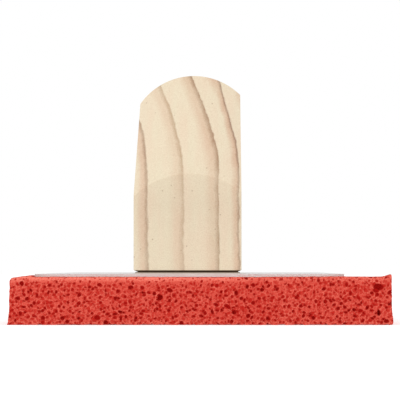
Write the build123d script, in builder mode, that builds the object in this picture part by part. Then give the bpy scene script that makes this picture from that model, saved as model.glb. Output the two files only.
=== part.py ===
from build123d import *
import os
from math import radians, tan

# A sponge rubber float: a coarse sponge pad cemented under a thin aluminium plate, and a one-piece
# wooden bridge handle bedded on the plate and held by flat-head wood screws driven from below.
# Origin: the middle of the pad's underside. +X across the float, +Y along it, +Z up. Millimetres.

# Sponge pad: nominally 5 x 12 x 5/8 inches, with its glue line.
PAD_WIDTH = 127.0
PAD_LENGTH = 305.0
PAD_THICKNESS = 15.7
PAD_EDGE_RADIUS = 0.8
GLUE_THICKNESS = 0.2

# Backing plate: 1 mm sheet, glued on a little to the left of the pad's middle.
PLATE_WIDTH = 104.0
PLATE_LENGTH = 289.0
PLATE_THICKNESS = 1.0
PLATE_CENTRE_X = -3.8
PLATE_CORNER_RADIUS = 5.0

# Handle: a section has a flat left side, an arched top and a flat right side, and is given by the
# (x, height above the plate) of the arch's left end, crown and right end.
HANDLE_LENGTH = 150.0
SLOPE_LENGTH = 45.0
END_SECTION = ((-24.5, 27.7), (-6.8, 35.6), (14.1, 29.1))
GRIP_SECTION = ((-23.3, 63.1), (-3.6, 73.5), (13.9, 66.4))
BEDDING_THICKNESS = 0.5
BEDDING_INSET = 0.6
SOLE_RELIEF_HEIGHT = 0.75
SOLE_RELIEF_DEPTH = 1.7
END_EDGE_RADIUS = 0.5

# Finger opening, cut through the handle from side to side.
OPENING_LENGTH = 98.0
OPENING_HEIGHT = 34.0
OPENING_CORNER_RADIUS = 15.0
OPENING_EDGE_RADIUS = 4.0

# Number 8 x 1 inch flat-head wood screws, two in each foot.
SCREW_LENGTH = 25.0
SCREW_SHANK_LENGTH = 9.0
SCREW_POINT_LENGTH = 4.0
SHANK_RADIUS = 2.1
CORE_RADIUS = 1.7
HEAD_RADIUS = 4.1
HEAD_HALF_ANGLE = 41.0
RECESS_LENGTH = 4.4
RECESS_WIDTH = 1.1
RECESS_DEPTH = 1.6
RECESS_TAPER = 15.0
SCREW_SPACING_X = 18.0

# Levels and places that follow from those.
PLATE_BOTTOM = PAD_THICKNESS + GLUE_THICKNESS
PLATE_TOP = PLATE_BOTTOM + PLATE_THICKNESS
SOLE = PLATE_TOP + BEDDING_THICKNESS
HALF_LENGTH = HANDLE_LENGTH / 2
HALF_GRIP = HALF_LENGTH - SLOPE_LENGTH
HANDLE_LEFT = END_SECTION[0][0]
HANDLE_RIGHT = END_SECTION[2][0]
HANDLE_WIDTH = HANDLE_RIGHT - HANDLE_LEFT
HANDLE_CENTRE_X = (HANDLE_LEFT + HANDLE_RIGHT) / 2
FOOT_LENGTH = (HANDLE_LENGTH - OPENING_LENGTH) / 2
FOOT_CENTRE_Y = HALF_LENGTH - FOOT_LENGTH / 2
HEAD_SLOPE = tan(radians(HEAD_HALF_ANGLE))
HEAD_HEIGHT = (HEAD_RADIUS - SHANK_RADIUS) / HEAD_SLOPE
DIMPLE_WALL = PLATE_THICKNESS * (1 + HEAD_SLOPE**2) ** 0.5
OPENING_TOP = PLATE_TOP + OPENING_HEIGHT
TINY = 0.01
HANDLE_SECTIONS = [
    (END_SECTION, -HALF_LENGTH),
    (GRIP_SECTION, -HALF_GRIP),
    (GRIP_SECTION, HALF_GRIP),
    (END_SECTION, HALF_LENGTH),
]
FEET = [(HANDLE_CENTRE_X, y) for y in (-FOOT_CENTRE_Y, FOOT_CENTRE_Y)]
SCREWS = [(x + side * SCREW_SPACING_X / 2, y) for x, y in FEET for side in (-1, 1)]


def cone_radius(base_radius, height):
    """Radius of a cone with the screw head's angle, at a height above its base."""
    return base_radius - height * HEAD_SLOPE


# ---- sponge pad ---------------------------------------------------------------------------------
with BuildPart() as sponge_pad:
    with BuildSketch():
        Rectangle(PAD_WIDTH, PAD_LENGTH)
    extrude(amount=PAD_THICKNESS)
    fillet(sponge_pad.edges().group_by(Axis.Z)[1], PAD_EDGE_RADIUS)
    fillet(sponge_pad.faces().sort_by(Axis.Z)[-1].edges(), PAD_EDGE_RADIUS)

# ---- layer of contact adhesive between the pad and the plate ---------------------------------------
with BuildPart() as adhesive_layer:
    with BuildSketch(Plane.XY.offset(PAD_THICKNESS)):
        with Locations((PLATE_CENTRE_X, 0)):
            RectangleRounded(PLATE_WIDTH, PLATE_LENGTH, PLATE_CORNER_RADIUS)
    extrude(amount=GLUE_THICKNESS)

# ---- the dimple that one screw's head presses in the plate: a truncated cone -----------------------
with BuildPart() as dimple:
    with BuildSketch(Plane.XZ):
        with BuildLine():
            Polyline(
                (0, PLATE_TOP),
                (cone_radius(HEAD_RADIUS + DIMPLE_WALL, PLATE_THICKNESS), PLATE_TOP),
                (SHANK_RADIUS + DIMPLE_WALL, PLATE_BOTTOM + HEAD_HEIGHT),
                (0, PLATE_BOTTOM + HEAD_HEIGHT),
                close=True,
            )
        make_face()
    revolve(axis=Axis.Z)

# ---- screws, heads down, each with a cross recess ----------------------------------------------------
with BuildPart() as screw_body:
    with BuildSketch(Plane.XZ):
        with BuildLine():
            Polyline(
                (0, PLATE_BOTTOM),
                (HEAD_RADIUS, PLATE_BOTTOM),
                (SHANK_RADIUS, PLATE_BOTTOM + HEAD_HEIGHT),
                (SHANK_RADIUS, PLATE_BOTTOM + SCREW_SHANK_LENGTH),
                (CORE_RADIUS, PLATE_BOTTOM + SCREW_SHANK_LENGTH),
                (CORE_RADIUS, PLATE_BOTTOM + SCREW_LENGTH - SCREW_POINT_LENGTH),
                (0, PLATE_BOTTOM + SCREW_LENGTH),
                close=True,
            )
        make_face()
    revolve(axis=Axis.Z)

with BuildPart() as handle_screws:
    with Locations(*SCREWS):
        add(screw_body.part)
    with BuildSketch(Plane.XY.offset(PLATE_BOTTOM)):
        with Locations(*SCREWS):
            Rectangle(RECESS_LENGTH, RECESS_WIDTH)
            Rectangle(RECESS_WIDTH, RECESS_LENGTH)
    extrude(amount=RECESS_DEPTH, taper=RECESS_TAPER, mode=Mode.SUBTRACT)

# ---- backing plate, dimpled up round each screw head --------------------------------------------------
with BuildPart() as backing_plate:
    with BuildSketch(Plane.XY.offset(PLATE_BOTTOM)):
        with Locations((PLATE_CENTRE_X, 0)):
            RectangleRounded(PLATE_WIDTH, PLATE_LENGTH, PLATE_CORNER_RADIUS)
    extrude(amount=PLATE_THICKNESS)
    with Locations(*SCREWS):
        add(dimple.part)
        add(screw_body.part, mode=Mode.SUBTRACT)

# ---- bedding compound under each foot of the handle ---------------------------------------------------
with BuildPart() as foot_bedding:
    with BuildSketch(Plane.XY.offset(PLATE_TOP)):
        with Locations(*FEET):
            Rectangle(
                HANDLE_RIGHT - HANDLE_LEFT - 2 * BEDDING_INSET,
                FOOT_LENGTH - 2 * BEDDING_INSET,
            )
    extrude(amount=BEDDING_THICKNESS)
    with Locations(*SCREWS):
        add(dimple.part, mode=Mode.SUBTRACT)

# ---- block with a bevelled underside, which trims the handle's sole ------------------------------------
with BuildPart() as sole_mould:
    with BuildSketch(Plane.XY.offset(SOLE)):
        with Locations((HANDLE_CENTRE_X, 0)):
            Rectangle(HANDLE_WIDTH - 2 * SOLE_RELIEF_DEPTH, HANDLE_LENGTH - 2 * SOLE_RELIEF_DEPTH)
    with BuildSketch(Plane.XY.offset(SOLE + SOLE_RELIEF_HEIGHT)):
        with Locations((HANDLE_CENTRE_X, 0)):
            Rectangle(HANDLE_WIDTH, HANDLE_LENGTH)
    loft(ruled=True)
    extrude(sole_mould.faces().sort_by(Axis.Z)[-1], amount=GRIP_SECTION[1][1])

# ---- handle: arched sections lofted up one slope, along the grip and down the other --------------------
with BuildPart() as handle:
    for (left, crown, right), y in HANDLE_SECTIONS:
        with BuildSketch(Plane(origin=(0, y, PLATE_TOP), x_dir=(1, 0, 0), z_dir=(0, -1, 0))):
            with BuildLine():
                Polyline(left, (left[0], BEDDING_THICKNESS), (right[0], BEDDING_THICKNESS), right)
                ThreePointArc(right, crown, left)
            make_face()
    loft(ruled=True)
    with BuildSketch(Plane.YZ.offset(HANDLE_CENTRE_X)):
        with Locations((0, PLATE_TOP)):
            Rectangle(OPENING_LENGTH, OPENING_HEIGHT, align=(Align.CENTER, Align.MIN))
        fillet(vertices().group_by(Axis.Y)[-1], OPENING_CORNER_RADIUS)
    extrude(amount=HANDLE_RIGHT - HANDLE_LEFT, both=True, mode=Mode.SUBTRACT)
    mouths = handle.edges().filter_by(lambda edge: abs(edge.center().Y) < OPENING_LENGTH / 2 + TINY)
    mouths = mouths.filter_by(lambda edge: edge.bounding_box().max.Z < OPENING_TOP + TINY)
    fillet(mouths.filter_by(Axis.X, reverse=True), OPENING_EDGE_RADIUS)
    end_edges = handle.edges().filter_by(lambda edge: abs(edge.center().Y) > HALF_LENGTH - TINY)
    fillet(end_edges.filter_by(lambda edge: edge.center().Z > SOLE + TINY), END_EDGE_RADIUS)
    add(sole_mould.part, mode=Mode.INTERSECT)
    with Locations(*SCREWS):
        add(dimple.part, mode=Mode.SUBTRACT)
        add(screw_body.part, mode=Mode.SUBTRACT)

os.makedirs("parts", exist_ok=True)
for name, piece in {
    "sponge_pad": sponge_pad,
    "adhesive_layer": adhesive_layer,
    "backing_plate": backing_plate,
    "foot_bedding": foot_bedding,
    "handle": handle,
    "handle_screws": handle_screws,
}.items():
    piece.part.label = name
    export_step(piece.part, f"parts/{name}.step")
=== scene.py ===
"""Looks of a sponge rubber float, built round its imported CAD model.

Metres, in the CAD model's frame: +X across the float, +Y along it, +Z up, and the origin is the
middle of the pad's underside. The camera stands in front of the float's -Y end.
"""

import math
from itertools import product

import bmesh
import bpy
import numpy as np
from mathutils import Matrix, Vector


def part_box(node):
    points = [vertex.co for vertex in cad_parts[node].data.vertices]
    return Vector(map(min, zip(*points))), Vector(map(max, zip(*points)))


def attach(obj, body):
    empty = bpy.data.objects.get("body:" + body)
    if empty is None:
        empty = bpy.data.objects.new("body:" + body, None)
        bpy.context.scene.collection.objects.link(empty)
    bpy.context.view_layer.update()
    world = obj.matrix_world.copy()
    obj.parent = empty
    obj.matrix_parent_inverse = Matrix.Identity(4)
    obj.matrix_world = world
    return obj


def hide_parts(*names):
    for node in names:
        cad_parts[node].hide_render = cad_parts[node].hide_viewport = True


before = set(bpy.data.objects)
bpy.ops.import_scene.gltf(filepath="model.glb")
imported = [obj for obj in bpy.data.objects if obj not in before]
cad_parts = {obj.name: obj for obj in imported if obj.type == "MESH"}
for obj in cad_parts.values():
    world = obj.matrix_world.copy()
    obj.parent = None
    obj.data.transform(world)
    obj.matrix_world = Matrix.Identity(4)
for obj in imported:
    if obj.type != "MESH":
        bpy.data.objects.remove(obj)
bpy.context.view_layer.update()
PAD_LOW, PAD_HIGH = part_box("sponge_pad")
PLATE_LOW, PLATE_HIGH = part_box("backing_plate")
HANDLE_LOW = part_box("handle")[0]
MM = 0.001
PLATE_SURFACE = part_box("foot_bedding")[0].z / MM


def linear(red, green, blue):
    """Scene-linear colour of a display colour given in 0 to 255."""
    display = np.array([red, green, blue]) / 255
    values = np.where(display <= 0.04045, display / 12.92, ((display + 0.055) / 1.055) ** 2.4)
    return (*values.tolist(), 1.0)


def smooth_step(low, high, value):
    """0 at low and before it, 1 at high and past it, and smooth between. high may be the lower one."""
    t = np.clip((value - low) / (high - low), 0, 1)
    return t * t * (3 - 2 * t)


# ---- camera --------------------------------------------------------------------------------------
CAMERA_X = 7.4 * MM
CAMERA_HEIGHT = 19.4 * MM
CAMERA_GAP = 1.0
AIM_X = -0.15 * MM
AIM_HEIGHT = 41.47 * MM
LENS = 271.35
SENSOR_WIDTH = 36.0
CLIP_START = 0.05
CLIP_END = 50.0


def make_camera():
    """A long lens a little above the pad's top, one metre in front of its end."""
    data = bpy.data.cameras.new("camera")
    data.lens = LENS
    data.sensor_width = SENSOR_WIDTH
    camera = bpy.data.objects.new("camera", data)
    bpy.context.scene.collection.objects.link(camera)
    camera.location = (CAMERA_X, PAD_LOW.y - CAMERA_GAP, CAMERA_HEIGHT)
    aim = Vector((AIM_X, PAD_LOW.y, AIM_HEIGHT))
    camera.rotation_mode = "QUATERNION"
    camera.rotation_quaternion = (aim - camera.location).to_track_quat("-Z", "Y")
    data.clip_start = CLIP_START
    data.clip_end = CLIP_END
    bpy.context.scene.camera = camera


# ---- node materials ------------------------------------------------------------------------------
NOISE_LOW = 0.3
NOISE_HIGH = 0.7


class Paint:
    """A node material under construction. A socket given as a value is linked."""

    def __init__(self, name, **surface):
        self.material = bpy.data.materials.new(name)
        self.material.use_nodes = True
        self.tree = self.material.node_tree
        self.surface = self.tree.nodes["Principled BSDF"]
        for title, value in surface.items():
            self.set(self.surface.inputs[title.replace("_", " ")], value)

    def set(self, socket, value):
        """Link a socket to another one, or give it a plain value."""
        if isinstance(value, bpy.types.NodeSocket):
            self.tree.links.new(value, socket)
        else:
            socket.default_value = value

    def node(self, kind, inputs, output=0, **settings):
        """The output socket of a new node; inputs maps a socket's name or number to its value."""
        node = self.tree.nodes.new("ShaderNode" + kind)
        for key, value in settings.items():
            setattr(node, key, value)
        for key, value in inputs.items():
            self.set(node.inputs[key], value)
        return node.outputs[output]

    def millimetres(self, scale=(1, 1, 1)):
        """Place on the object in millimetres, times a factor for each axis."""
        place = self.node("TexCoord", {}, "Object")
        factors = [value / MM for value in scale]
        return self.node("VectorMath", {0: place, 1: factors}, operation="MULTIPLY")

    def axis(self, vector, number):
        """One coordinate of a vector: 0 is X, 1 is Y and 2 is Z."""
        return self.node("SeparateXYZ", {0: vector}, number)

    def facing(self, number):
        """How squarely the surface faces along one of the object's axes, either way: 0 to 1."""
        normal = self.node("TexCoord", {}, "Normal")
        return self.math("ABSOLUTE", self.axis(normal, number))

    def noise(self, place, scale, detail=2.0, roughness=0.5):
        """Smooth noise between 0 and 1."""
        inputs = {"Vector": place, "Scale": scale, "Detail": detail, "Roughness": roughness}
        return self.node("TexNoise", inputs)

    def voronoi(self, place, scale, feature="F1"):
        """Distance to the nearest of many scattered points, or to the border between two of them."""
        inputs = {"Vector": place, "Scale": scale}
        return self.node("TexVoronoi", inputs, "Distance", feature=feature)

    def math(self, operation, first, second=0.0, third=0.0):
        """The result of one arithmetic operation."""
        return self.node("Math", {0: first, 1: second, 2: third}, operation=operation)

    def range(self, value, low, high, new_low=0.0, new_high=1.0):
        """A value moved from one range to another and held at its ends."""
        inputs = {0: value, 1: low, 2: high, 3: new_low, 4: new_high}
        return self.node("MapRange", inputs)

    def vary(self, noise, low=0.0, high=1.0):
        """Noise, most of which lies between its own low and high, spread over other values."""
        return self.range(noise, NOISE_LOW, NOISE_HIGH, low, high)

    def mix(self, factor, first, second, mode="MIX"):
        """The first colour with a share of the second in it, or laid over it in another mode."""
        inputs = {0: factor, 6: first, 7: second}
        return self.node("Mix", inputs, 2, data_type="RGBA", blend_type=mode)

    def tint(self, colour, factor, share=1.0):
        """A colour times a factor for each channel."""
        return self.mix(share, colour, factor, "MULTIPLY")

    def ramp(self, value, stops):
        """Colours along a value: stops is a list of (place from 0 to 1, colour)."""
        node = self.tree.nodes.new("ShaderNodeValToRGB")
        self.set(node.inputs[0], value)
        elements = node.color_ramp.elements
        elements.remove(elements[1])
        elements[0].position, elements[0].color = stops[0]
        for place, colour in stops[1:]:
            elements.new(place).color = colour
        return node.outputs[0]

    def base_colour(self, colour):
        self.set(self.surface.inputs["Base Color"], colour)

    def roughness(self, value):
        self.set(self.surface.inputs["Roughness"], value)

    def bump(self, height, distance, strength=1.0):
        """Fine relief: a height from 0 to 1 stands for a distance in metres."""
        inputs = {"Height": height, "Distance": distance, "Strength": strength}
        self.set(self.surface.inputs["Normal"], self.node("Bump", inputs))


# ---- floor and light -----------------------------------------------------------------------------
FLOOR_SIZE = 12.0
WORLD_LIGHT = 1.0
FLOOR_GLOW = 0.25
FLOOR_COLOURS = ((0.93, 0.93, 0.93, 1), (0.96, 0.96, 0.96, 1))
FLOOR_FLECK_SCALE = 0.02
KEY_PLACE = (-0.7, -2.6, 0.4)
KEY_AIM = (0, 0, 0.03)
KEY_SIZE = 1.6
KEY_POWER = 17.0


def make_floor():
    """A plain pale floor, wide enough to fill the picture."""
    mesh = bpy.data.meshes.new("floor")
    half = FLOOR_SIZE / 2
    corners = [(-half, -half, 0), (half, -half, 0), (half, half, 0), (-half, half, 0)]
    mesh.from_pydata(corners, [], [(0, 1, 2, 3)])
    paint = Paint("floor_white", Roughness=0.9)
    fleck = paint.noise(paint.millimetres(), FLOOR_FLECK_SCALE)
    paint.base_colour(paint.mix(fleck, *FLOOR_COLOURS))
    paint.surface.inputs["Specular IOR Level"].default_value = 0.0
    paint.surface.inputs["Emission Color"].default_value = (1, 1, 1, 1)
    paint.surface.inputs["Emission Strength"].default_value = FLOOR_GLOW
    mesh.materials.append(paint.material)
    floor = bpy.data.objects.new("floor", mesh)
    bpy.context.scene.collection.objects.link(floor)


def make_key_light():
    """One large soft light in front of the float, a little to the left."""
    data = bpy.data.lights.new("key", "AREA")
    data.shape = "DISK"
    data.size = KEY_SIZE
    data.energy = KEY_POWER
    light = bpy.data.objects.new("key", data)
    bpy.context.scene.collection.objects.link(light)
    light.location = KEY_PLACE
    light.rotation_mode = "QUATERNION"
    light.rotation_quaternion = (Vector(KEY_AIM) - Vector(KEY_PLACE)).to_track_quat("-Z", "Y")


def make_world():
    """Even white light from all sides, and colours shown as they are."""
    world = bpy.data.worlds.new("studio")
    world.use_nodes = True
    world.node_tree.nodes["Background"].inputs["Color"].default_value = (1, 1, 1, 1)
    world.node_tree.nodes["Background"].inputs["Strength"].default_value = WORLD_LIGHT
    bpy.context.scene.world = world
    bpy.context.scene.view_settings.view_transform = "Standard"


# ---- sponge rubber -------------------------------------------------------------------------------
SPONGE_COLOURS = [
    # tone of the rubber, colour there: torn cell walls made pale by painted highlight to cell floors
    # made dark and saturated by painted shade
    (0.05, linear(233, 124, 106)),
    (0.25, linear(209, 85, 70)),
    (0.38, linear(194, 61, 49)),
    (0.58, linear(186, 38, 27)),
    (0.85, linear(174, 12, 6)),
    (0.95, linear(160, 10, 5)),
]
SPONGE_SPECULAR = 0.15
# Fine cell walls drawn paler: painted highlight.
FINE_WALLS = {"scale": 1.1, "reach": (0.03, 0.16), "paleness": 0.07}
# Pinholes drawn darker: painted shade.
PINHOLES = {"scale": 1.9, "reach": (0.12, 0.34), "darkness": 0.2}
GRAIN_CHANGE = 0.10
PATCH_CHANGE = 0.05
TONE_SHARE = 0.5
TONE_START = 0.35


def paint_sponge():
    """Red sponge rubber, coloured by the mesh's tone with fine cells and grain on top; the tone and the
    fine cells hold painted shade in the pores and painted highlight on the walls.
    """
    paint = Paint("sponge_rubber", Roughness=0.85)
    place = paint.millimetres()
    # The mesh's tone holds painted shade in the pores and painted highlight round their rims.
    tone = paint.node("Attribute", {}, "Fac", attribute_name="tone")
    # Paler fine walls: painted highlight.
    to_wall = paint.voronoi(place, FINE_WALLS["scale"], "DISTANCE_TO_EDGE")
    wall = paint.range(to_wall, *FINE_WALLS["reach"], FINE_WALLS["paleness"], 0.0)
    # Darker pinholes: painted shade.
    to_pin = paint.voronoi(place, PINHOLES["scale"])
    pin = paint.range(to_pin, *PINHOLES["reach"], PINHOLES["darkness"], 0.0)
    grain = paint.noise(place, scale=2.6, detail=3.0, roughness=0.6)
    grain = paint.vary(grain, -GRAIN_CHANGE, GRAIN_CHANGE)
    patchy = paint.vary(paint.noise(place, scale=0.09), -PATCH_CHANGE, PATCH_CHANGE)
    level = paint.math("ADD", tone, paint.math("SUBTRACT", pin, wall))
    level = paint.math("ADD", level, paint.math("ADD", grain, patchy))
    level = paint.math("MULTIPLY_ADD", level, TONE_SHARE, TONE_START)
    paint.base_colour(paint.ramp(level, SPONGE_COLOURS))
    paint.surface.inputs["Specular IOR Level"].default_value = SPONGE_SPECULAR
    relief = paint.math("MULTIPLY", level, -1.0)
    paint.bump(relief, distance=0.35 * MM, strength=0.6)
    return paint.material


# ---- pine ----------------------------------------------------------------------------------------
RINGS = (
    # outer edge of a growth ring across the handle in millimetres, and how dark its late wood is
    (-28.5, 0.8),
    (-19.3, 1.15),
    (-6.5, 0.6),
    (6.2, 1.0),
    (13.4, 1.4),
    (21.0, 0.8),
    (30.0, 0.8),
)
RING_PROFILE = (
    # share of the way through a ring, tint there: early wood, pink late wood, dark outer edge
    (0.01, (255, 255, 255)),
    (0.56, (255, 255, 255)),
    (0.77, (241, 225, 219)),
    (0.85, (238, 220, 212)),
    (0.98, (166, 130, 98)),
)
RING_SPAN = 80.0

# The rings lean to the left above a height, a little less so in the handle's right part.
LEAN_START = 52.0
LEAN_HEIGHT = 38.0
LEAN = 10.2
LEAN_POWER = 1.65
UPRIGHT_START = -4.0
UPRIGHT_REACH = 9.0
UPRIGHT_POWER = 2.25
UPRIGHT_SHARE = 0.23

# Their edges wander and are ragged, and they are fainter low down and in patches.
WANDER = 1.0
RAGGEDNESS = 0.5
FAINT_BELOW = 50.0
STRONG_ABOVE = 60.0
FAINTNESS = 0.75
PATCH_STRENGTH = (0.75, 1.15)

# The wood between the rings, its fibres and resin canals, its tint on the ends, partly the end grain's
# own colour and partly painted shade, painted bounce light near the foot, and a painted shadow along
# the bottom edge.
EARLY_WOOD = (linear(225, 211, 182), linear(226, 206, 178))
WARMTH_RANGE = (0.35, 0.65)
FIBRE_COLOURS = [(0.0, linear(170, 130, 90)), (1.0, linear(255, 248, 230))]
FIBRE_SHARE = 0.17
CANAL_SCALE = 0.3
CANAL_REACH = (0.05, 0.1)
CANAL_SHARE = 0.5
CANAL_COLOUR = linear(150, 116, 84)
END_GRAIN_FACING = (0.8, 0.95)
# The end faces' darker tint: partly the end grain's own colour, partly painted shade.
END_GRAIN_AND_SHADE_TINT = (0.96, 0.955, 0.95, 1)
# Painted bounce light from the plate: the wood is paler towards the foot.
PINE_FOOT_BOUNCE_HEIGHTS = (20.0, 42.0)
PINE_FOOT_BOUNCE_TINT = (1.15, 1.15, 1.16, 1)
# A dark band along the handle's bottom edge: painted shadow of the gap over the plate.
SHADOW_LINE_HEIGHT = HANDLE_LOW.z / MM + 0.5
SHADOW_LINE_FADE = 0.2
SHADOW_LINE_COLOUR = linear(104, 84, 62)
PINE_ROUGHNESS = (0.52, 0.7)


def ring_stops():
    """Tints through the rings, from one side of the handle to the other."""
    stops = [(0.0, linear(255, 255, 255))]
    for (start, _), (end, darkness) in zip(RINGS, RINGS[1:]):
        for share, colour in RING_PROFILE:
            tint = [255 - darkness * (255 - value) for value in colour]
            stops.append(((start + share * (end - start)) / RING_SPAN + 0.5, linear(*tint)))
    return stops


def ring_place(paint, x, height):
    """Place through the rings, from 0 to 1: they stand upright below and lean to the left above."""
    rise = paint.range(height, LEAN_START, LEAN_START + LEAN_HEIGHT)
    lean = paint.math("MULTIPLY", paint.math("POWER", rise, LEAN_POWER), LEAN)
    to_right = paint.range(x, UPRIGHT_START, UPRIGHT_START + UPRIGHT_REACH)
    upright = paint.math("POWER", to_right, UPRIGHT_POWER)
    lean = paint.math("MULTIPLY", lean, paint.math("MULTIPLY_ADD", upright, -UPRIGHT_SHARE, 1.0))
    wander = paint.noise(paint.millimetres((1, 0.15, 1)), scale=0.07)
    wander = paint.range(wander, 0, 1, -WANDER, WANDER)
    ragged = paint.noise(paint.millimetres((1, 0.08, 0.5)), scale=0.9, detail=3.0)
    ragged = paint.range(ragged, 0, 1, -RAGGEDNESS, RAGGEDNESS)
    place = paint.math("ADD", paint.math("ADD", x, lean), paint.math("ADD", wander, ragged))
    return paint.math("MULTIPLY_ADD", place, 1 / RING_SPAN, 0.5)


def ringed_wood(paint, x, height):
    """Early wood, a little warmer in places, with the rings on it, fainter lower down."""
    patches = paint.noise(paint.millimetres((1, 0.1, 0.5)), scale=0.3)
    strength = paint.math(
        "MULTIPLY",
        paint.vary(patches, *PATCH_STRENGTH),
        paint.range(height, FAINT_BELOW, STRONG_ABOVE, FAINTNESS, 1.0),
    )
    warmth = paint.noise(paint.millimetres((1, 0.1, 0.25)), scale=0.22)
    early = paint.mix(paint.range(warmth, *WARMTH_RANGE), *EARLY_WOOD)
    rings = paint.ramp(ring_place(paint, x, height), ring_stops())
    return paint.mix(strength, early, paint.tint(early, rings))


def paint_pine():
    """Planed pine with the grain along Y: rings in the cross-section, fine fibres along the length."""
    paint = Paint("pine_wood")
    place = paint.millimetres()
    x, height = paint.axis(place, 0), paint.axis(place, 2)
    fibres = paint.noise(paint.millimetres((1, 0.06, 1)), scale=2.4, detail=4.0, roughness=0.65)
    streaks = paint.ramp(paint.vary(fibres), FIBRE_COLOURS)
    colour = paint.mix(FIBRE_SHARE, ringed_wood(paint, x, height), streaks)
    to_canal = paint.voronoi(paint.millimetres((1, 0.03, 1)), CANAL_SCALE)
    canals = paint.range(to_canal, *CANAL_REACH, CANAL_SHARE, 0.0)
    colour = paint.mix(canals, colour, CANAL_COLOUR)
    # End faces tinted darker: partly the end grain's own colour, partly painted shade.
    end_face = paint.range(paint.facing(1), *END_GRAIN_FACING)
    colour = paint.tint(colour, END_GRAIN_AND_SHADE_TINT, end_face)
    # Paler towards the foot: painted bounce light from the plate.
    foot_bounce_light = paint.range(height, *PINE_FOOT_BOUNCE_HEIGHTS, 1.0, 0.0)
    colour = paint.tint(colour, PINE_FOOT_BOUNCE_TINT, foot_bounce_light)
    # Dark band along the bottom edge: painted shadow of the gap over the plate.
    shadow_line = paint.range(height, SHADOW_LINE_HEIGHT + SHADOW_LINE_FADE, SHADOW_LINE_HEIGHT)
    paint.base_colour(paint.mix(shadow_line, colour, SHADOW_LINE_COLOUR))
    paint.roughness(paint.vary(fibres, *PINE_ROUGHNESS))
    paint.bump(fibres, distance=0.12 * MM, strength=0.5)
    return paint.material


# ---- metal, cement and filler --------------------------------------------------------------------
SHEET_COLOURS = ((0.60, 0.60, 0.60, 1), (0.76, 0.75, 0.74, 1))
SHEET_EDGE_COLOUR = (0.80, 0.78, 0.76, 1)
EDGE_FACING = (0.3, 0.6)
EDGE_ROUGHNESS = 0.4
LINE_TINT = (0.84, 1.08)
LINE_ROUGHNESS = (0.26, 0.4)
SMEAR_ROUGHNESS = 0.1
ADHESIVE_COLOURS = (linear(150, 60, 46), linear(205, 120, 92))
# The filler's dark colours are painted shade for the gap under the handle's foot.
SHADED_FILLER_COLOURS = (linear(104, 82, 62), linear(136, 114, 90))
FILLER_SMEAR_COLOUR = linear(205, 190, 178)
FILLER_SMEAR_HEIGHTS = (PLATE_SURFACE + 0.22, PLATE_SURFACE + 0.34)
STEEL_COLOURS = ((0.55, 0.56, 0.58, 1), (0.76, 0.77, 0.78, 1))
STEEL_ROUGHNESS = (0.28, 0.5)


def paint_aluminium():
    """Mill-finish sheet: fine rolling lines along Y, dull smears, and paler, rougher sheared edges."""
    paint = Paint("aluminium_plate", Metallic=1.0)
    lines = paint.noise(paint.millimetres((1, 0.02, 1)), scale=3.0, detail=5.0, roughness=0.7)
    smears = paint.noise(paint.millimetres((1, 0.5, 1)), scale=0.06, detail=3.0)
    faces = paint.tint(paint.mix(smears, *SHEET_COLOURS), paint.vary(lines, *LINE_TINT))
    on_edge = paint.range(paint.facing(2), *EDGE_FACING, 1.0, 0.0)
    paint.base_colour(paint.mix(on_edge, faces, SHEET_EDGE_COLOUR))
    rough = paint.vary(lines, *LINE_ROUGHNESS)
    rough = paint.math("ADD", rough, paint.vary(smears, 0, SMEAR_ROUGHNESS))
    paint.roughness(paint.math("MULTIPLY_ADD", on_edge, EDGE_ROUGHNESS, rough))
    paint.bump(lines, distance=0.03 * MM, strength=0.4)
    return paint.material


def paint_adhesive():
    """Dried contact cement, in blotches."""
    paint = Paint("contact_adhesive", Roughness=0.5)
    blotch = paint.noise(paint.millimetres(), scale=0.7, detail=4.0, roughness=0.6)
    paint.base_colour(paint.mix(blotch, *ADHESIVE_COLOURS))
    paint.bump(blotch, distance=0.2 * MM)
    return paint.material


def paint_bedding():
    """Gritty filler coloured dark as painted shade in the gap under the foot, thinned to a pale smear
    where it meets the plate.
    """
    paint = Paint("bedding_compound", Roughness=0.8)
    place = paint.millimetres()
    grit = paint.noise(place, scale=1.6, detail=4.0, roughness=0.6)
    dark = paint.mix(grit, *SHADED_FILLER_COLOURS)
    smear = paint.range(paint.axis(place, 2), *FILLER_SMEAR_HEIGHTS, 1.0, 0.0)
    paint.base_colour(paint.mix(smear, dark, FILLER_SMEAR_COLOUR))
    paint.bump(grit, distance=0.1 * MM)
    return paint.material


def paint_screw():
    """Zinc-plated steel, hazy in places."""
    paint = Paint("screw_steel", Metallic=1.0)
    haze = paint.noise(paint.millimetres(), scale=0.8, detail=4.0, roughness=0.6)
    paint.base_colour(paint.mix(haze, *STEEL_COLOURS))
    paint.roughness(paint.vary(haze, *STEEL_ROUGHNESS))
    paint.bump(haze, distance=0.02 * MM)
    return paint.material


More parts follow.
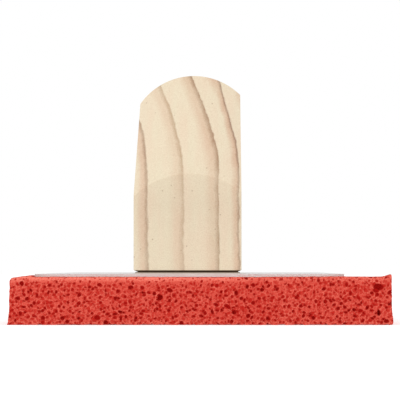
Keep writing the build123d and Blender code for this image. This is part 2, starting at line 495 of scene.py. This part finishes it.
# ---- the sponge's mesh: six pored grids joined round the edges -----------------------------------
SEED = 7
FRONT, REAR, LEFT, RIGHT, TOP, UNDERSIDE = (1, -1), (1, 1), (0, -1), (0, 1), (2, 1), (2, -1)
GRID_STEPS = {
    # face, as its normal's axis and its side: distance between vertices
    FRONT: 0.2,
    REAR: 0.35,
    LEFT: 0.45,
    RIGHT: 0.45,
    TOP: 0.5,
    UNDERSIDE: 1.0,
}
EDGE = 0.25
HIDDEN_MARGIN = 2.0
PORE_LAYERS = (
    # spacing, share of places with a pore, median radius, spread of radii, depth over radius
    (6.0, 0.16, 0.66, 0.15, 1.8),
    (1.7, 0.96, 0.51, 0.22, 1.8),
    (1.2, 0.97, 0.47, 0.25, 0.65),
    (0.75, 0.50, 0.21, 0.25, 1.8),
)
LANDMARKS = (
    # large pores on the front face: x, height, half width, half height
    (-13.4, 9.1, 0.95, 0.95),
    (59.0, 12.5, 1.7, 1.05),
    (59.0, 4.1, 0.6, 1.1),
    (-31.4, 0.9, 0.85, 0.7),
    (-45.8, 2.3, 0.8, 0.6),
    (-40.3, 2.2, 0.7, 0.5),
    (11.2, 4.2, 0.8, 0.7),
    (22.3, 2.2, 0.7, 0.6),
    (37.4, 2.4, 0.7, 0.6),
    (51.0, 5.1, 0.7, 0.6),
)
PAD_SIZE = [value / MM for value in PAD_HIGH - PAD_LOW]

# A pore's place in its cell, largest radius over the spacing, shape, depth, rim and wall.
PLACE_IN_CELL = (0.08, 0.92)
LARGEST_RADIUS = 0.75
STRETCH_MEAN = 0.08
STRETCH_SPREAD = 0.16
TURN_SPREAD = 0.7
FLOOR_RANGE = (0.5, 0.95)
LANDMARK_DEPTH = 2.2
BOWL_POWER = 0.8
RIM_REACH = 1.18
RIM_WIDTH = 0.13
FULL_RIM_RADIUS = 0.5
WALL = 0.5
FAR = 9.0

# The skin along the top of a side has smaller pores, and the rubber is paler towards the top edge; both
# fade further along the side. The rubber is also painted a little paler at the foot: painted bounce
# light from the floor.
SKIN_LOSS = 0.55
SKIN_LOSS_PLACES = (-5, 35)
SKIN_SHRINK = 0.45
SKIN_SHRINK_DEPTHS = (3.2, 0.3)
TOP_EDGE_PALENESS = 0.45
TOP_EDGE_PALE_DEPTHS = (2.1, 0.2)
FOOT_BOUNCE_LIGHT = 0.15
# Painted bounce light from the floor, paler at the foot.
FOOT_BOUNCE_HEIGHTS = (1.4, 0.3)

# How the places on a face are warped, its tone and its unevenness. The tone darkens with a pore's
# depth, which is painted shade, and is paler round shallow rims, which is painted highlight.
WARP = 0.15
WARP_CELL = 0.9
FULL_SHADE_DEPTH = 0.7
LARGEST_SHADE_TONE = 1.12
RIM_HIGHLIGHT = 0.35
SHALLOW = 0.05
MEAN_SINK = 0.05
SWELLS = ((0.05, 2.5), (0.04, 0.7))


def random_field(u, v, cell, rng):
    """Smooth random values from -1 to 1, with features about a cell across."""
    shape = [math.ceil(np.ptp(w) / cell) + 2 for w in (u, v)]
    lattice = rng.uniform(-1, 1, shape)
    column, s = np.divmod((u - u.min()) / cell, 1)
    row, t = np.divmod((v - v.min()) / cell, 1)
    i, j = column.astype(int), row.astype(int)
    s, t = s * s * (3 - 2 * s), t * t * (3 - 2 * t)
    near = lattice[i, j] * (1 - s) + lattice[i + 1, j] * s
    far = lattice[i, j + 1] * (1 - s) + lattice[i + 1, j + 1] * s
    return near * (1 - t) + far * t


def bowl(reach):
    """Depth of a round bowl, 1 at its middle and 0 at its rim, where reach is 1."""
    return np.clip(1 - reach**2, 0, 1) ** BOWL_POWER


def rim(reach):
    """A narrow band just outside a pore's rim."""
    return np.exp(-(((reach - RIM_REACH) / RIM_WIDTH) ** 2))


def top_band_strength(u):
    """How strong the band along the top of a side is, along the side: its smaller pores and its paler
    colour.
    """
    return 1 - SKIN_LOSS * smooth_step(*SKIN_LOSS_PLACES, u)


def scatter_pores(u, v, layer, rng, on_side):
    """Random oval pores, one for each cell of a lattice: centre, radius, stretch, turn, floor, open."""
    spacing, share, median, spread, deep = layer
    shape = [math.ceil(np.ptp(w) / spacing) + 3 for w in (u, v)]
    column, row = np.arange(shape[0])[:, None], np.arange(shape[1])[None, :]
    centre_u = u.min() - spacing + (column + rng.uniform(*PLACE_IN_CELL, shape)) * spacing
    centre_v = v.min() - spacing + (row + rng.uniform(*PLACE_IN_CELL, shape)) * spacing
    radius = median * np.exp(rng.normal(0, spread, shape))
    radius = np.minimum(radius, LARGEST_RADIUS * spacing)
    stretch = np.exp(rng.normal(STRETCH_MEAN, STRETCH_SPREAD, shape))
    turn = rng.normal(0, TURN_SPREAD, shape)
    if on_side:
        near_top = smooth_step(*SKIN_SHRINK_DEPTHS, v.max() - centre_v)
        radius = radius * (1 - SKIN_SHRINK * top_band_strength(centre_u) * near_top)
    floor = radius * deep * rng.uniform(*FLOOR_RANGE, shape)
    is_open = rng.uniform(0, 1, shape) < share
    return centre_u, centre_v, radius, stretch, turn, floor, is_open


def pores(u, v, layer, rng, on_side):
    """Depth and rim strength of one layer of pores, with a wall left between neighbours."""
    lattice = scatter_pores(u, v, layer, rng, on_side)
    spacing = layer[0]
    columns, rows = lattice[0].shape
    home_i = ((u - (u.min() - spacing)) / spacing).astype(int)
    home_j = ((v - (v.min() - spacing)) / spacing).astype(int)
    nearest, second = np.full_like(u, FAR), np.full_like(u, FAR)
    deepest, size = np.zeros_like(u), np.ones_like(u)
    for step_i, step_j in product((-1, 0, 1), repeat=2):
        i = np.clip(home_i + step_i, 0, columns - 1)
        j = np.clip(home_j + step_j, 0, rows - 1)
        centre_u, centre_v, radius, stretch, turn, floor, is_open = (part[i, j] for part in lattice)
        du, dv = u - centre_u, v - centre_v
        along = (du * np.cos(turn) + dv * np.sin(turn)) / stretch
        across = (dv * np.cos(turn) - du * np.sin(turn)) * stretch
        reach = np.where(is_open, np.hypot(along, across) / radius, FAR)
        closer = reach < nearest
        second = np.where(closer, nearest, np.minimum(second, reach))
        deepest = np.where(closer, floor, deepest)
        size = np.where(closer, radius, size)
        nearest = np.minimum(nearest, reach)
    wall = smooth_step(0.0, WALL, second - nearest)
    return deepest * bowl(nearest) * wall, rim(nearest) * np.minimum(size / FULL_RIM_RADIUS, 1)


def pore_field(u, v, rng, on_side, landmarks):
    """Depth of the pores in millimetres and tone of the rubber on one face, darker deeper in a pore as
    painted shade and paler round the rims as painted highlight.
    """
    warped_u = u + WARP * random_field(u, v, WARP_CELL, rng)
    warped_v = v + WARP * random_field(u, v, WARP_CELL, rng)
    depth, edge = np.zeros_like(u), np.zeros_like(u)
    for layer in PORE_LAYERS:
        found = pores(warped_u, warped_v, layer, rng, on_side)
        depth, edge = np.maximum(depth, found[0]), np.maximum(edge, found[1])
    for x, z, half_width, half_height in landmarks:
        reach = np.hypot((warped_u - x) / half_width, (warped_v - z) / half_height)
        depth = np.maximum(depth, LANDMARK_DEPTH * half_height * bowl(reach))
        edge = np.maximum(edge, rim(reach))
    # Darker deeper in a pore: painted shade. Paler round shallow rims: painted highlight.
    tone = np.minimum(depth / FULL_SHADE_DEPTH, LARGEST_SHADE_TONE) - RIM_HIGHLIGHT * edge * (depth < SHALLOW)
    if on_side:
        # Paler towards the top edge of a side.
        tone -= TOP_EDGE_PALENESS * top_band_strength(u) * smooth_step(*TOP_EDGE_PALE_DEPTHS, v.max() - v)
        # Paler towards the foot: painted bounce light from the floor.
        tone -= FOOT_BOUNCE_LIGHT * smooth_step(*FOOT_BOUNCE_HEIGHTS, v - v.min())
    swell = sum(height * random_field(u, v, cell, rng) for height, cell in SWELLS)
    return np.maximum(depth + MEAN_SINK + swell, 0), tone


def under_plate(x, y):
    """Whether places on the pad's top are well under the plate, where nothing shows."""
    inside_x = (x > PLATE_LOW.x / MM + HIDDEN_MARGIN) & (x < PLATE_HIGH.x / MM - HIDDEN_MARGIN)
    inside_y = (y > PLATE_LOW.y / MM + HIDDEN_MARGIN) & (y < PLATE_HIGH.y / MM - HIDDEN_MARGIN)
    return inside_x & inside_y


def cover(index, hidden):
    """A fan of triangles over the rectangle of a grid that is hidden, round its middle vertex."""
    columns, rows = np.flatnonzero(hidden.any(axis=1)), np.flatnonzero(hidden.any(axis=0))
    block = index[columns[0] : columns[-1] + 1, rows[0] : rows[-1] + 1]
    ring = [*block[:-1, 0], *block[-1, :-1], *block[:0:-1, -1], *block[0, :0:-1]]
    hub = block[len(block) // 2, block.shape[1] // 2]
    return [(start, end, hub) for start, end in zip(ring, ring[1:] + ring[:1])]


def border(index, axes, axis, side):
    """The row of a patch's vertices along its edge on one side of an axis."""
    end = -1 if side > 0 else 0
    return index[end, :] if axes[0] == axis else index[:, end]


def zip_rows(first, second, place):
    """Triangles that join two rows of vertices, which run the same way at different spacings."""
    triangles = []
    i = j = 0
    while i < len(first) - 1 or j < len(second) - 1:
        second_done = j == len(second) - 1
        if second_done or (i < len(first) - 1 and place[first[i + 1]] < place[second[j + 1]]):
            triangles.append((first[i], first[i + 1], second[j]))
            i += 1
        else:
            triangles.append((first[i], second[j + 1], second[j]))
            j += 1
    return triangles


def join_patches(patches, points):
    """Triangles along the pad's twelve edges and at its eight corners."""
    triangles = []
    for first, second in ((0, 1), (0, 2), (1, 2)):
        along = 3 - first - second
        for side_a, side_b in product((-1, 1), repeat=2):
            row_a = border(*patches[first, side_a], second, side_b)
            row_b = border(*patches[second, side_b], first, side_a)
            triangles += zip_rows(row_a, row_b, points[:, along])
    for sides in product((-1, 1), repeat=3):
        corner = []
        for normal in range(3):
            index, axes = patches[normal, sides[normal]]
            corner.append(index[tuple(-1 if sides[axis] > 0 else 0 for axis in axes)])
        triangles.append(tuple(corner))
    return triangles


def face_grid(axes, step, low, high):
    """Places on the two axes that lie in a face, a step apart and clear of the pad's edges."""
    lines = []
    for axis in axes:
        start, stop = low[axis] + EDGE, high[axis] - EDGE
        lines.append(np.linspace(start, stop, round((stop - start) / step) + 1))
    return np.meshgrid(*lines, indexing="ij")


def sponge_geometry():
    """Points, tones, quads and triangles of the whole pad, in millimetres."""
    rng = np.random.default_rng(SEED)
    low = np.array(PAD_LOW) / MM
    high = np.array(PAD_HIGH) / MM
    points, tones, quads, patches = [], [], [], {}
    count = 0
    for face, step in GRID_STEPS.items():
        normal, side = face
        axes = [axis for axis in range(3) if axis != normal]
        u, v = face_grid(axes, step, low, high)
        landmarks = LANDMARKS if face == FRONT else ()
        depth, tone = pore_field(u, v, rng, face not in (TOP, UNDERSIDE), landmarks)
        index = count + np.arange(u.size).reshape(u.shape)
        count += u.size
        cells = np.stack([index[:-1, :-1], index[1:, :-1], index[1:, 1:], index[:-1, 1:]], axis=-1)
        if face == TOP:
            hidden = under_plate(u, v)
            depth = np.where(hidden, 0.0, depth)
            cells = cells[~(hidden[:-1, :-1] & hidden[1:, 1:])]
            fan = cover(index, hidden)
        place = np.empty((*u.shape, 3))
        place[..., axes[0]], place[..., axes[1]] = u, v
        place[..., normal] = (high if side > 0 else low)[normal] - side * depth
        points.append(place.reshape(-1, 3))
        tones.append(tone.ravel())
        quads.append(cells.reshape(-1, 4))
        patches[face] = (index, axes)
    points = np.concatenate(points)
    triangles = join_patches(patches, points) + fan
    return shape_pad(points), np.concatenate(tones), np.concatenate(quads), triangles


# ---- the pad's own unevenness --------------------------------------------------------------------
LEFT_RADIUS = 1.3
RIGHT_RADIUS = 0.6
TINY = 1e-6

# The sides lean out towards the foot and have a lip there, which is tucked in at the right's bottom.
SIDE_LEAN = 0.2
FOOT_LIP = 0.6
FOOT_LIP_HEIGHT = 6
OUTER_SHARE = (0.85, 1.0)
RIGHT_LIP_HEIGHTS = (-1.5, 1.8)

# The top's lift over its plain height left of the plate, right of it and in front of it.
PLATE_GAP = 0.3
LIFTED_HEIGHT = 7
SAG_PLACES = (8, 70)
LEFT_LIFT = 0.9
LEFT_SLOPE = 0.13
LEFT_SAG = 0.6
RIGHT_LIFT = 0.4
RIGHT_SAG_SLOPE = 0.13
EAR_LIFT = 0.85
EAR_START = 60.6
EAR_WIDTH = 2.4
EAR_LENGTH = 16
FRONT_LIFT = 0.25
FRONT_LEFT_LIFT = 0.12
FRONT_LEFT_PLACES = (20, -50)
FRONT_RIGHT_LIFT = 0.2
FRONT_RIGHT_PLACES = (5, 48)


def rounded_corner(x, z):
    """Places with the pad's long top edges rounded off: square corners are mapped to quarter discs."""
    radius = np.where(x < 0, LEFT_RADIUS, RIGHT_RADIUS)
    corner_x, corner_z = PAD_SIZE[0] / 2 - radius, PAD_SIZE[2] - radius
    a = np.clip((np.abs(x) - corner_x) / radius, 0, None)
    b = np.clip((z - corner_z) / radius, 0, None)
    shrink = np.maximum(a, b) / np.maximum(np.hypot(a, b), TINY)
    inside = (a > 0) & (b > 0)
    new_x = np.where(inside, np.sign(x) * (corner_x + a * shrink * radius), x)
    return new_x, np.where(inside, corner_z + b * shrink * radius, z)


def side_spread(x, z):
    """How far the pad's sides stand out, most of it near the foot."""
    lip = FOOT_LIP * (1 - np.clip(z / FOOT_LIP_HEIGHT, 0, 1)) ** 2
    spread = SIDE_LEAN * (1 - z / PAD_SIZE[2]) + lip
    spread = spread * smooth_step(*OUTER_SHARE, np.abs(x) / (PAD_SIZE[0] / 2))
    return spread * np.where(x > 0, smooth_step(*RIGHT_LIP_HEIGHTS, z), 1)


def top_lift(x, from_front):
    """How far the pad's top stands up: the margins sag behind the front, and one corner turns up."""
    left_edge, right_edge = PLATE_LOW.x / MM - PLATE_GAP, PLATE_HIGH.x / MM + PLATE_GAP
    sag = smooth_step(*SAG_PLACES, from_front)
    left = LEFT_LIFT + LEFT_SLOPE * (x - left_edge) - LEFT_SAG * sag
    ear = EAR_LIFT * np.clip((x - EAR_START) / EAR_WIDTH, 0, 1)
    ear = ear * np.exp(-((from_front / EAR_LENGTH) ** 2))
    right = RIGHT_LIFT + ear - RIGHT_SAG_SLOPE * sag * (x - right_edge)
    to_left = FRONT_LEFT_LIFT * smooth_step(*FRONT_LEFT_PLACES, x)
    to_right = FRONT_RIGHT_LIFT * smooth_step(*FRONT_RIGHT_PLACES, x)
    before_plate = from_front < (PLATE_LOW.y - PAD_LOW.y) / MM - PLATE_GAP
    front = np.where(before_plate, FRONT_LIFT + to_left + to_right, 0)
    return np.where(x < left_edge, left, np.where(x > right_edge, right, front))


def shape_pad(points):
    """Points with the pad's edges rounded, its sides spread and its top lifted."""
    x, y, z = points.T
    x, z = rounded_corner(x, z)
    lift = top_lift(x, y + PAD_SIZE[1] / 2)
    near_top = smooth_step(PAD_SIZE[2] - LIFTED_HEIGHT, PAD_SIZE[2], z)
    return np.column_stack([x + side_spread(x, z) * np.sign(x), y, z + lift * near_top])


# ---- the sponge and the CAD nodes' materials -----------------------------------------------------
def make_sponge():
    """The pored pad as one mesh, which stands for the CAD model's plain pad."""
    points, tones, quads, triangles = sponge_geometry()
    mesh = bpy.data.meshes.new("sponge_foam")
    faces = quads.tolist() + [tuple(int(i) for i in corners) for corners in triangles]
    mesh.from_pydata((points * MM).tolist(), [], faces)
    attribute = mesh.attributes.new("tone", "FLOAT", "POINT")
    attribute.data.foreach_set("value", tones.astype(np.float32))
    form = bmesh.new()
    form.from_mesh(mesh)
    unused = [vertex for vertex in form.verts if not vertex.link_faces]
    bmesh.ops.delete(form, geom=unused, context="VERTS")
    bmesh.ops.recalc_face_normals(form, faces=form.faces)
    form.to_mesh(mesh)
    form.free()
    mesh.shade_smooth()
    mesh.materials.append(paint_sponge())
    sponge = bpy.data.objects.new("sponge_foam", mesh)
    bpy.context.scene.collection.objects.link(sponge)
    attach(sponge, "root")
    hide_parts("sponge_pad")


def dress(name, material):
    """Give a CAD node one material."""
    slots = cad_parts[name].data.materials
    slots.clear()
    slots.append(material)


make_camera()
make_floor()
make_world()
make_key_light()
make_sponge()
dress("handle", paint_pine())
dress("backing_plate", paint_aluminium())
dress("adhesive_layer", paint_adhesive())
dress("foot_bedding", paint_bedding())
dress("handle_screws", paint_screw())
